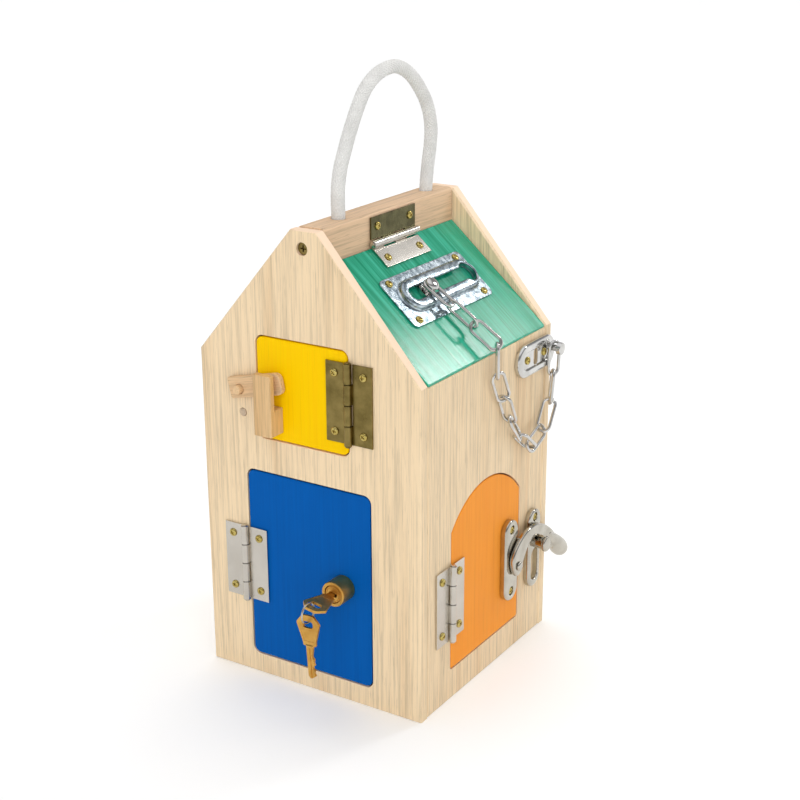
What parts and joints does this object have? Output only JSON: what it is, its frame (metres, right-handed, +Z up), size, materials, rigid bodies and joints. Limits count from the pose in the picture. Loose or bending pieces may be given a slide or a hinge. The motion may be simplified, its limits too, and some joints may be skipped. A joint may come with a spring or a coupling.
{
  "type": "wooden latch box",
  "caption": "House-shaped wooden toy lock box with hinged doors in its walls and roof, each held by a different latch, and a rope handle on the ridge.",
  "frame": {"origin": "middle of the underside", "axes": "+Z up, front gable with the lock and the drop bar towards -Y, wall with the arched door towards +X"},
  "size_m": [0.193, 0.2428, 0.4278],
  "materials": {
    "wood": "satin",
    "beam_wood": "satin",
    "blue_paint": "gloss",
    "yellow_paint": "gloss",
    "orange_paint": "gloss",
    "green_paint": "gloss",
    "nickel": "satin",
    "bronze": "satin",
    "brass": "polished",
    "chrome": "polished",
    "rope": "matt"
  },
  "bodies": {
    "house": {"front_gable": "wood", "back_gable": "wood", "right_wall": "wood", "left_wall": "wood", "base_panel": "wood", "mid_shelf": "wood", "ridge_beam": "beam_wood", "left_roof_panel": "wood", "blue_hinge_frame_leaf": "nickel", "blue_hinge_pin": "nickel", "yellow_hinge_frame_leaf": "bronze", "yellow_hinge_pin": "bronze", "orange_hinge_frame_leaf": "nickel", "orange_hinge_pin": "nickel", "roof_hinge_frame_leaf": "bronze", "roof_hinge_pin": "nickel", "latch_pin": "wood", "wall_dowel": "wood", "apex_screw": "brass", "hook_keeper_plate": "nickel", "chain_anchor_plate": "chrome", "chain_anchor_stud": "chrome", "rope_handle": "rope", "rope_knot_front": "rope", "rope_knot_back": "rope"},
    "blue_door": {"blue_door": "blue_paint", "blue_hinge_door_leaf": "nickel", "lock_barrel": "brass", "lock_nut": "brass"},
    "yellow_door": {"yellow_door": "yellow_paint", "yellow_hinge_door_leaf": "bronze", "latch_keeper": "wood"},
    "orange_door": {"orange_door": "orange_paint", "orange_hinge_door_leaf": "nickel", "hook_base_plate": "nickel", "hook_rivet": "nickel"},
    "roof_door": {"green_roof_door": "green_paint", "roof_hinge_door_leaf": "nickel", "chain_track_plate": "chrome", "chain_link_01": "chrome", "chain_link_02": "chrome", "chain_link_03": "chrome"},
    "latch_bar": {"latch_bar": "wood"},
    "lock_plug": {"lock_plug": "brass", "lock_cam": "nickel", "cam_screw": "nickel"},
    "lock_key": {"lock_key": "brass"},
    "key_ring": {"key_ring": "nickel"},
    "spare_key": {"spare_key": "brass"},
    "hook": {"hook_lever": "nickel"},
    "slider": {"chain_slider": "chrome"},
    "chain_front": {"chain_link_04": "chrome", "chain_link_05": "chrome", "chain_link_06": "chrome", "chain_link_07": "chrome", "chain_link_08": "chrome"},
    "chain_back": {"chain_link_09": "chrome", "chain_link_10": "chrome", "chain_link_11": "chrome", "chain_link_12": "chrome"}
  },
  "joints": [
    {"name": "blue_door_hinge", "type": "hinge", "parent": "house", "child": "blue_door", "pos_m": [-0.0543, -0.0929, 0.0863], "axis": [0, 0, -1], "range_deg": [0, 105]},
    {"name": "yellow_door_hinge", "type": "hinge", "parent": "house", "child": "yellow_door", "pos_m": [0.035, -0.0929, 0.2204], "axis": [0, 0, 1], "range_deg": [0, 0.6]},
    {"name": "orange_door_hinge", "type": "hinge", "parent": "house", "child": "orange_door", "pos_m": [0.0919, -0.0533, 0.0756], "axis": [0, 0, -1], "range_deg": [0, 85]},
    {"name": "roof_door_hinge", "type": "hinge", "parent": "house", "child": "roof_door", "pos_m": [0.0131, 0, 0.311], "axis": [0, -1, 0], "range_deg": [0, 80], "deforming": ["chain_link_04", "chain_link_05", "chain_link_06", "chain_link_07", "chain_link_08", "chain_link_09", "chain_link_10", "chain_link_11", "chain_link_12"]},
    {"name": "latch_bar_turn", "type": "hinge", "parent": "house", "child": "latch_bar", "pos_m": [-0.0519, -0.0932, 0.2168], "axis": [0, -1, 0], "range_deg": [-17, 97]},
    {"name": "lock_turn", "type": "hinge", "parent": "blue_door", "child": "lock_plug", "pos_m": [0.0276, -0.09, 0.087], "axis": [0, -1, 0], "range_deg": [0, 90]},
    {"name": "key_slide", "type": "slide", "parent": "lock_plug", "child": "lock_key", "axis": [0, -1, 0], "range_m": [0, 0.024]},
    {"name": "ring_swing", "type": "hinge", "parent": "lock_key", "child": "key_ring", "pos_m": [0.02524, -0.12898, 0.08742], "axis": [0, -1, 0], "range_deg": [-18, 0]},
    {"name": "spare_key_swing", "type": "hinge", "parent": "key_ring", "child": "spare_key", "pos_m": [0.02524, -0.12898, 0.07645], "axis": [0, -1, 0], "range_deg": [-72, 0]},
    {"name": "hook_turn", "type": "hinge", "parent": "orange_door", "child": "hook", "pos_m": [0.096, 0.0305, 0.0718], "axis": [1, 0, 0], "range_deg": [0, 160]},
    {"name": "chain_slide", "type": "slide", "parent": "roof_door", "child": "slider", "axis": [0, 1, 0], "range_m": [-0.018, 0.0526], "deforming": ["chain_link_01", "chain_link_02", "chain_link_03"]},
    {"name": "chain_front_swing", "type": "hinge", "parent": "roof_door", "child": "chain_front", "pos_m": [0.09566, -0.003, 0.24685], "axis": [0, -1, 0], "range_deg": [-80, 0]},
    {"name": "chain_back_swing", "type": "hinge", "parent": "house", "child": "chain_back", "pos_m": [0.0962, 0.0815, 0.2235], "axis": [1, 0, 0], "range_deg": [-130, 0]}
  ],
  "couplings": [
    {"joint": "hook_turn", "follows": "orange_door_hinge", "ratio": 1.88},
    {"joint": "ring_swing", "follows": "lock_turn", "ratio": -0.2},
    {"joint": "spare_key_swing", "follows": "lock_turn", "ratio": -0.8},
    {"joint": "chain_front_swing", "follows": "roof_door_hinge", "ratio": -1},
    {"joint": "chain_back_swing", "follows": "roof_door_hinge", "ratio": -1.579}
  ]
}
